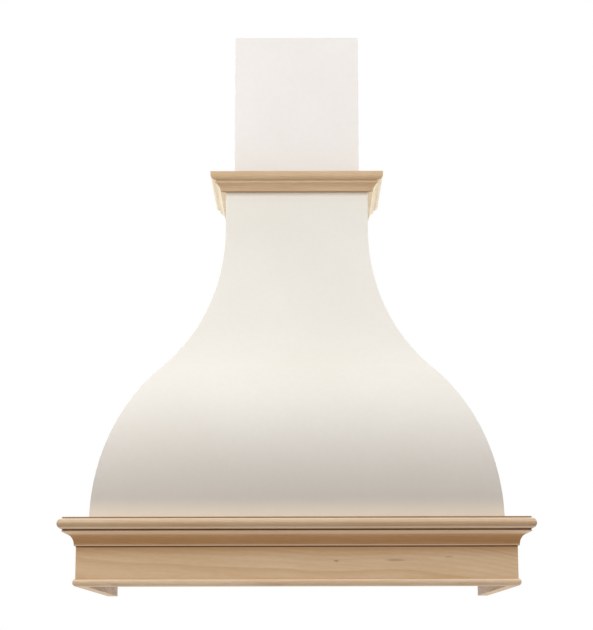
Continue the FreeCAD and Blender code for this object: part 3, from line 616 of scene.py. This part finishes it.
def add_strip(name, profile, half, depth, where, surface):
    """One of three strips round the front and sides of a box, mitred at the front corners."""
    points, marks = ease(trace(profile))
    inner = shrink(points, MITRE_GROOVE)
    sign = -1 if where == "left" else 1
    rings = []
    for end, outline, back in ((0, inner, 0.0), (0, points, MITRE_GROOVE),
                               (1, points, -MITRE_GROOVE), (1, inner, 0.0)):
        ring = []
        for reach, height in outline:
            if where == "front":
                x, forward = (-1, 1)[end] * (half + reach) + back, depth + reach
            else:
                x, forward = sign * (half + reach), (0.0, depth + reach)[end] + back
            ring.append(place(x, forward, height))
        rings.append(ring)
    bm = skin(rings, marks)
    for face in bm.faces:
        x, _, height = place_of(face.calc_center_median())
        inside = abs(x) < half - BOARD + EASING
        foot = name == "crown" and height < CROWN_FOOT + EASING
        face.material_index = 1 if where != "front" and (inside or foot) else 0
    node = f"{name}_{where}"
    # the second finish: painted shade on the skirt's inner faces, painted light on the crown's
    # undersides
    second = "maple_crown_foot" if name == "crown" else "maple_inside_shaded"
    run = "x" if where == "front" else "y"
    home = place(0, depth, 0) if node == "frieze_front" else None
    make_piece(f"{node}_strip", bm, "hood", node, [surface, second],
               run, FACING[run], home)


def profiles():
    """The mouldings' cross sections: corners as (reach from the face, height)."""
    bead_radius = ((BEAD_HEIGHT / 2) ** 2 + BEAD_REACH ** 2) / (2 * BEAD_REACH)
    quirk_foot, quirk_reach = FRIEZE - QUIRK_HEIGHT, COVE_REACH - QUIRK_DEPTH
    nose_radius = NOSE_HEIGHT / 2
    nose_middle, lip_foot = NOSE_REACH - nose_radius, MANTEL_TOP + UNDERCUT_HEIGHT
    fillet_foot = CROWN_FOOT + CROWN_WAIST_RISE
    round_foot = CROWN_FLUTE + CROWN_QUIRK_HEIGHT
    return {
        "frieze": [(-BOARD, 0.0), (0.0, 0.0), (0.0, FRIEZE), (-BOARD, FRIEZE)],
        "bead": [(0.0, 0.0, bead_radius, 1), (0.0, BEAD_HEIGHT)],
        "cove": [(0.0, COVE_BASE), (COVE_FOOT, COVE_BASE),
                 (COVE_FOOT, COVE_BASE + COVE_FOOT_RISE, COVE_RADIUS, -1),
                 (COVE_REACH, COVE_BASE + COVE_CREST_RISE), (COVE_REACH, quirk_foot),
                 (quirk_reach, quirk_foot), (quirk_reach, FRIEZE), (0.0, FRIEZE)],
        "mantel": [(-BOARD, FRIEZE), (nose_middle, FRIEZE, nose_radius, 1),
                   (nose_middle, MANTEL_TOP), (LIP_REACH - UNDERCUT_DEPTH, MANTEL_TOP),
                   (LIP_REACH, lip_foot), (LIP_REACH, lip_foot + LIP_HEIGHT),
                   (-BOARD, lip_foot + LIP_HEIGHT)],
        "crown": [(0.0, CROWN_FOOT), (CROWN_FOOT_REACH, CROWN_FOOT),
                  (CROWN_FOOT_REACH, CROWN_FOOT + CROWN_FOOT_RISE, CROWN_COVE_RADIUS, -1),
                  (CROWN_WAIST_REACH, fillet_foot), (CROWN_FILLET_REACH, fillet_foot),
                  (CROWN_FILLET_REACH, CROWN_FLUTE), (CROWN_QUIRK_REACH, CROWN_FLUTE),
                  (CROWN_QUIRK_REACH, round_foot),
                  (CROWN_ROUND_REACH, round_foot, CROWN_ROUND_RADIUS, 1),
                  (CROWN_FASCIA_REACH, round_foot + CROWN_ROUND_HEIGHT), (CROWN_REACH, CROWN_TOP),
                  (0.0, CROWN_TOP)],
    }


def make_mouldings():
    """The skirt's boards and every moulding."""
    for name, profile in profiles().items():
        half, depth = (NECK_HALF, NECK_DEPTH) if name == "crown" else (HALF, DEPTH)
        for where in ("front", "left", "right"):
            side = "_side" if where != "front" and name in ("frieze", "crown") else ""
            add_strip(name, profile, half, depth, where, f"maple_{name}{side}")


# ---------------------------------------------------------------- the painted shell

ARC_ROWS = 96       # rows of faces up each arc of the bell
ARRIS_STEPS = 5     # faces round a painted corner


def bell_radii(kind):
    """The swell's and the flare's radius, which meet smoothly."""
    foot, neck, flare = BELL[kind]
    rise, run = FLARE_TOP - SWELL_FOOT, foot - neck
    return (rise ** 2 + run ** 2) / (2 * run) - flare, flare


def bell(kind, height, inset=0.0):
    """How far out the bell's curve lies at a height, on its outer face or moved in from it."""
    foot, neck, _ = BELL[kind]
    swell, flare = bell_radii(kind)
    meeting = SWELL_FOOT + (swell - inset) / (swell + flare) * (FLARE_TOP - SWELL_FOOT)
    if height <= SWELL_FOOT:
        return foot - inset
    if height >= FLARE_TOP:
        return neck - inset
    if height <= meeting:
        return foot - swell + math.sqrt((swell - inset) ** 2 - (height - SWELL_FOOT) ** 2)
    return neck + flare - math.sqrt((flare + inset) ** 2 - (FLARE_TOP - height) ** 2)


def bell_rows(kind):
    """(height, sine and cosine of the slope) up the outer face, close together on the arcs."""
    swell, flare = bell_radii(kind)
    steepest = math.asin((FLARE_TOP - SWELL_FOOT) / (swell + flare))
    turns = [steepest * k / ARC_ROWS for k in range(ARC_ROWS + 1)]
    rows = [(SHELL_FOOT, 0.0)]
    rows += [(SWELL_FOOT + swell * math.sin(turn), turn) for turn in turns[:-1]]
    rows += [(FLARE_TOP - flare * math.sin(turn), turn) for turn in turns[::-1]]
    rows.append((SHELL_TOP, 0.0))
    return [(height, math.sin(turn), math.cos(turn)) for height, turn in rows]


def corner_steps():
    """How deep and how far in the rounded corner lies, from the face round to the edge."""
    turns = [math.radians(90 * k / ARRIS_STEPS) for k in range(ARRIS_STEPS + 1)]
    return [(ARRIS * (1 - math.cos(turn)), ARRIS * (1 - math.sin(turn))) for turn in turns]


def paint_outside(bm, painted):
    """Faces that fail the test are bare board."""
    bmesh.ops.recalc_face_normals(bm, faces=bm.faces)
    for face in bm.faces:
        face.material_index = 0 if painted(face) else 1


def make_front_panel():
    """The bent front, with its corners rounded towards the sides."""
    rings = []
    for height, sine, cosine in bell_rows("front"):
        out = bell("front", height)
        side = []
        for depth, back in corner_steps() + [(SHELL_THICK, 0.0)]:
            z = height - depth * sine
            side.append((bell("side", z) - back, out - depth * cosine, z))
        ring = [(-x, forward, z) for x, forward, z in side[::-1]] + side
        rings.append([place(*point) for point in ring])
    corners = [1.0] * len(corner_steps())
    bm = skin(rings, [0.0] + corners + corners + [0.0])

    def painted(face):
        _, forward, height = place_of(face.calc_center_median())
        return forward > bell("front", height, SHELL_THICK * 0.75) or abs(face.normal.x) > 0.5
    paint_outside(bm, painted)
    make_piece("front_panel_skin", bm, "hood", "front_panel", ["paint", "board"])


def make_side_panel(side, sign):
    """A bent side, from the wall to the back of the front panel."""
    rings = []
    for height, sine, cosine in bell_rows("side"):
        out = bell("side", height)
        loop = []
        for depth in (0.0, SHELL_THICK):
            z = height - depth * sine
            loop.append((out - depth * cosine, bell("front", z, SHELL_THICK), z))
        back = [(x, 0.0, z) for x, _, z in loop[::-1]]
        rings.append([place(sign * x, forward, z) for x, forward, z in loop + back])
    bm = skin(rings)

    def painted(face):
        x, _, height = place_of(face.calc_center_median())
        return abs(x) > bell("side", height, SHELL_THICK * 0.4) and abs(face.normal.y) < 0.5
    paint_outside(bm, painted)
    node = f"side_panel_{side}"
    make_piece(f"{node}_skin", bm, "hood", node, ["paint", "board"])


# ---------------------------------------------------------------- chimney

def add_panel(name, across, forward, outside):
    """An upright flat panel with rounded edges, painted on the faces that look outside."""
    corners = [Vector((across[0], forward[0])), Vector((across[1], forward[0])),
               Vector((across[1], forward[1])), Vector((across[0], forward[1]))]
    points, marks = ease(corners, PANEL_EASING)
    bevel = PANEL_EASING / 2
    inner = shrink(points, bevel)
    bm = skin([[place(u, v, height) for u, v in outline]
               for height, outline in ((CHIMNEY_FOOT, inner), (CHIMNEY_FOOT + bevel, points),
                                       (CHIMNEY_TOP - bevel, points), (CHIMNEY_TOP, inner))], marks)

    def painted(face):
        shows = any(face.normal.dot(way) > 0.05 for way in outside)
        return shows and abs(face.normal.z) < 0.9
    paint_outside(bm, painted)
    make_piece(f"{name}_skin", bm, "chimney", name, ["chimney_paint", "board"])


def make_chimney():
    """The chimney's three panels."""
    bore_half, bore_front = CHIMNEY_HALF - CHIMNEY_WALL, CHIMNEY_FRONT - CHIMNEY_WALL
    right, front = AXES["x"], -AXES["y"]
    add_panel("chimney_front", (-CHIMNEY_HALF, CHIMNEY_HALF), (bore_front, CHIMNEY_FRONT),
              [front, -right, right])
    for side, sign in (("left", -1), ("right", 1)):
        across = sorted((sign * bore_half, sign * CHIMNEY_HALF))
        add_panel(f"chimney_{side}", across, (0.0, bore_front), [sign * right])


# ---------------------------------------------------------------- boards inside

BOARD_ROUNDING, LINER_ROUNDING = 0.0006, 0.0008   # in metres

# the way that each pine board runs
PINE_BOARDS = {
    "hood": {"base_rail_front": "x", "base_rail_left": "y", "base_rail_right": "y",
             "corner_post_left": "z", "corner_post_right": "z", "hanging_rail": "x",
             "lower_rail": "x"},
    "chimney": {"chimney_batten_front": "x", "chimney_batten_left": "y",
                "chimney_batten_right": "y", "chimney_post_left": "z", "chimney_post_right": "z",
                "chimney_spreader_bottom": "x", "chimney_spreader_top": "x"},
}


def dress_board(node, body, surfaces, run, layers, rounding=BOARD_ROUNDING):
    """A CAD board's own shape with its sharp edges eased, and its faces in grain space."""
    bm = bmesh.new()
    bm.from_mesh(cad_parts[node].data)
    bmesh.ops.remove_doubles(bm, verts=bm.verts, dist=WELD)
    bmesh.ops.dissolve_limit(bm, angle_limit=math.radians(1), verts=bm.verts, edges=bm.edges)
    sharp = [edge for edge in bm.edges
             if len(edge.link_faces) == 2 and edge.calc_face_angle(0.0) > math.radians(40)]
    bmesh.ops.bevel(bm, geom=sharp, offset=rounding, segments=2, profile=0.5, affect="EDGES",
                    clamp_overlap=True)
    bmesh.ops.recalc_face_normals(bm, faces=bm.faces)
    if len(surfaces) > 1:
        for face in bm.faces:
            face.material_index = 0 if abs(face.normal.dot(AXES[layers])) > 0.8 else 1
    for layer in list(bm.loops.layers.uv):
        bm.loops.layers.uv.remove(layer)
    make_piece(f"{node}_board", bm, body, node, surfaces, run, layers)


def make_boards():
    """Frame boards, ribs, the liner and the slip strips."""
    for body, boards in PINE_BOARDS.items():
        for node, run in boards.items():
            dress_board(node, body, ["pine"], run, FACING[run])
    plywood = {f"{kind}_{side}": "y" for side in ("left", "right")
               for kind in ("rear_former", "side_rib")}
    plywood |= {f"front_rib_{side}": "x" for side in ("left", "centre", "right")}
    for node, layers in plywood.items():
        dress_board(node, "hood", ["ply_face", "ply_edge"], "z", layers)
    dress_board("liner_panel", "hood", ["board"], "x", "z", LINER_ROUNDING)
    for where in ("front", "left", "right"):
        dress_board(f"guide_pads_{where}", "hood", ["slip"], "z", "y")
        dress_board(f"stop_strip_{where}", "chimney", ["slip"], "z", "y")


# ---------------------------------------------------------------- screws

# the head of a screw in millimetres: (radius, height) from its crown round to its flat side
SCREW_HEAD = [(0.0, 2.4), (0.35, 2.38), (0.7, 2.34), (1.05, 2.28), (1.4, 2.2), (1.75, 2.1),
              (2.1, 1.98), (2.7, 1.68), (3.3, 1.28), (3.8, 0.85), (4.1, 0.5), (4.2, 0.2),
              (4.15, 0.0), (2.2, 0.0)]
HEAD_HEIGHT, SCREW_SIDES = SCREW_HEAD[0][1], 32
THREAD_PITCH, THREAD_CORE, THREAD_CREST, THREAD_START = 2.2, 1.35, 1.95, -0.8
RECESS_RADIUS, RECESS_REACH, RECESS_HALF_WIDTH = 2.2, 2.6, 0.55
RECESS_DEPTH, RECESS_FROM = 1.5, 1.5


def screw_outline(length):
    """(radius, height) from the crown of the head down to the tip."""
    outline = SCREW_HEAD + [(1.9, -0.4)]
    for k in range(int(length / THREAD_PITCH) - 1):
        low = THREAD_START - k * THREAD_PITCH
        outline += [(THREAD_CORE, low - 0.5), (THREAD_CREST, low - 1.1), (THREAD_CORE, low - 1.7)]
    return outline + [(1.0, 2.0 - length), (0.15, -length)]


def add_screw(bm, seat, heading, length):
    """A round-headed screw with a cross recess, driven along heading.

    seat is the middle of the head's flat side.
    """
    to_frame = heading.to_track_quat("Z", "Y").to_matrix()
    rows = []
    for radius, height in screw_outline(length):
        row = []
        for k in range(SCREW_SIDES):
            angle = 2 * math.pi * k / SCREW_SIDES
            x, y, z = radius * math.cos(angle), radius * math.sin(angle), height
            inner, outer = sorted((abs(x), abs(y)))
            if height > RECESS_FROM and radius < RECESS_RADIUS and inner < RECESS_HALF_WIDTH:
                z -= RECESS_DEPTH * (1 - outer / RECESS_REACH)
            row.append(bm.verts.new(seat + to_frame @ (Vector((x, y, z)) * -0.001)))
        rows.append(row)
    join_rows(bm, rows)
    bm.faces.new(rows[-1])
    bmesh.ops.remove_doubles(bm, verts=rows[0], dist=0.000001)


def islands(node):
    """(lowest, highest) corner of each separate solid of a CAD node."""
    bm = bmesh.new()
    bm.from_mesh(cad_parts[node].data)
    bmesh.ops.remove_doubles(bm, verts=bm.verts, dist=WELD)
    left, found = set(bm.verts), []
    while left:
        queue, group = [left.pop()], []
        while queue:
            vert = queue.pop()
            group.append(vert.co.copy())
            for edge in vert.link_edges:
                other = edge.other_vert(vert)
                if other in left:
                    left.remove(other)
                    queue.append(other)
        found.append((Vector(map(min, *group)), Vector(map(max, *group))))
    bm.free()
    return sorted(found, key=lambda box: tuple(round(value, 5) for value in box[0]))


def screw_heading(node, axis, middle):
    """The way that a screw is driven: up, back into the wall rails, or outward into the skirt."""
    if node == "liner_screws":
        return AXES["z"]
    if node == "rail_screws":
        return AXES["y"]
    if axis == 1:
        return -AXES["y"]
    return AXES["x"] if middle.x > 0 else -AXES["x"]


def make_screws():
    """Each screw of the CAD nodes, its head where the CAD's head is."""
    for node in ("liner_screws", "skirt_screws", "rail_screws"):
        bm = bmesh.new()
        for low, high in islands(node):
            span, seat = high - low, (low + high) / 2
            axis = max(range(3), key=lambda k: span[k])
            heading = screw_heading(node, axis, seat)
            head_end = low if heading[axis] > 0 else high
            seat[axis] = head_end[axis] + HEAD_HEIGHT / 1000 * heading[axis]
            add_screw(bm, seat, heading, span[axis] * 1000 - HEAD_HEIGHT)
        make_piece(f"{node}_set", bm, "hood", node, ["zinc"])


make_mouldings()
make_front_panel()
make_side_panel("left", -1)
make_side_panel("right", 1)
make_chimney()
make_boards()
make_screws()

# ---------------------------------------------------------------- stage, light and camera

FLOOR_DEPTH, FLOOR_REACH = 0.95, 14.0   # below the skirt and to each side, in metres

# each lamp's place, what it is aimed at, its side in metres and its power in watts
LAMPS = {
    "lamp_left": ((-0.95, -1.2, 0.9), (0.0, -0.3, 0.2), 1.0, 12.6),
    "lamp_right": ((0.85, -1.2, 0.9), (0.0, -0.3, 0.2), 1.0, 10.3),
    "lamp_low": ((-1.3, -1.5, -0.1), (-0.3, -0.4, -0.1), 0.8, 1.3),
}
# the surround's brightness: in front and elsewhere, for its upper and for its lower half, then
# straight up and straight down
ABOVE, BELOW, OVERHEAD, UNDERFOOT = (0.0, 1.25), (0.63, 1.40), 0.84, 0.6

# the photograph's viewpoint, in millimetres, degrees and pixels
EYE = (8.8, 3631.0, -114.9)
EYE_TILT, EYE_ROLL = 10.757, -0.11
PICTURE_HEIGHT, FOCAL_LENGTH, VIEW_SHIFT = 630, 1785.3, -5.0


def make_floor():
    """A wide pale floor below the hood."""
    mesh = bpy.data.meshes.new("floor")
    z = place(0, 0, 0).z - FLOOR_DEPTH
    corners = [(x * FLOOR_REACH, y * FLOOR_REACH, z)
               for x, y in ((-1, -1), (1, -1), (1, 1), (-1, 1))]
    mesh.from_pydata(corners, [], [(0, 1, 2, 3)])
    tree = new_tree("floor")
    cloud = even_noise(tree, object_space(tree), 2)
    shade = blend(tree, cloud, linear(232, 232, 231), linear(228, 228, 227))
    link_output(tree, add(tree, "BsdfDiffuse", {"Color": shade}))
    mesh.materials.append(materials["floor"])
    floor = bpy.data.objects.new("floor", mesh)
    bpy.context.scene.collection.objects.link(floor)
    # the object is lit from below by the surround, as if the floor weren't there
    floor.visible_diffuse = floor.visible_shadow = False


def surround(tree):
    """How bright the world is in each direction: dim in front, where the lamps are."""
    _, back, up = split(tree, add(tree, "TexCoord").outputs["Generated"])
    above = remap(tree, back, -0.42, -0.06, *ABOVE)
    below = remap(tree, back, -0.42, -0.06, *BELOW)
    brightness = blend_numbers(tree, remap(tree, up, -0.1, 0.1), below, above)
    brightness = blend_numbers(tree, remap(tree, up, 0.66, 0.84), brightness, OVERHEAD)
    return blend_numbers(tree, remap(tree, up, -0.62, -0.80), brightness, UNDERFOOT)


def make_light():
    """The lamps, and the surround, which is seen and mirrored as plain white."""
    for name, (location, target, side, power) in LAMPS.items():
        data = bpy.data.lights.new(name, "AREA")
        data.shape, data.size, data.energy = "SQUARE", side, power
        lamp = bpy.data.objects.new(name, data)
        lamp.location = location
        aim = Vector(target) - Vector(location)
        lamp.rotation_euler = aim.to_track_quat("-Z", "Y").to_euler()
        bpy.context.scene.collection.objects.link(lamp)
    world = bpy.data.worlds.new("surround")
    world.use_nodes = True
    tree = world.node_tree
    tree.nodes.clear()
    path = add(tree, "LightPath").outputs
    seen = calc(tree, "MAXIMUM", path["Is Camera Ray"],
                calc(tree, "MAXIMUM", path["Is Glossy Ray"], path["Is Transmission Ray"]))
    strength = blend_numbers(tree, seen, surround(tree), 1.0)
    background = add(tree, "Background", {"Color": (1, 1, 1, 1), "Strength": strength})
    link_output(tree, background, "World")
    bpy.context.scene.world = world


def make_camera():
    """The photograph's viewpoint: low, in front of the middle, looking up at the hood."""
    data = bpy.data.cameras.new("camera")
    data.sensor_width = 36.0
    data.lens = FOCAL_LENGTH / PICTURE_HEIGHT * data.sensor_width
    data.shift_x = VIEW_SHIFT / PICTURE_HEIGHT
    data.clip_start, data.clip_end = 0.05, 60.0
    camera = bpy.data.objects.new("camera", data)
    camera.location = place(*EYE)
    tilt = Matrix.Rotation(math.radians(90 + EYE_TILT), 3, "X")
    roll = Matrix.Rotation(math.radians(EYE_ROLL), 3, "Z")
    camera.rotation_euler = (tilt @ roll).to_euler()
    bpy.context.scene.collection.objects.link(camera)
    bpy.context.scene.camera = camera


make_floor()
make_light()
make_camera()
bpy.context.scene.view_settings.view_transform = "Standard"
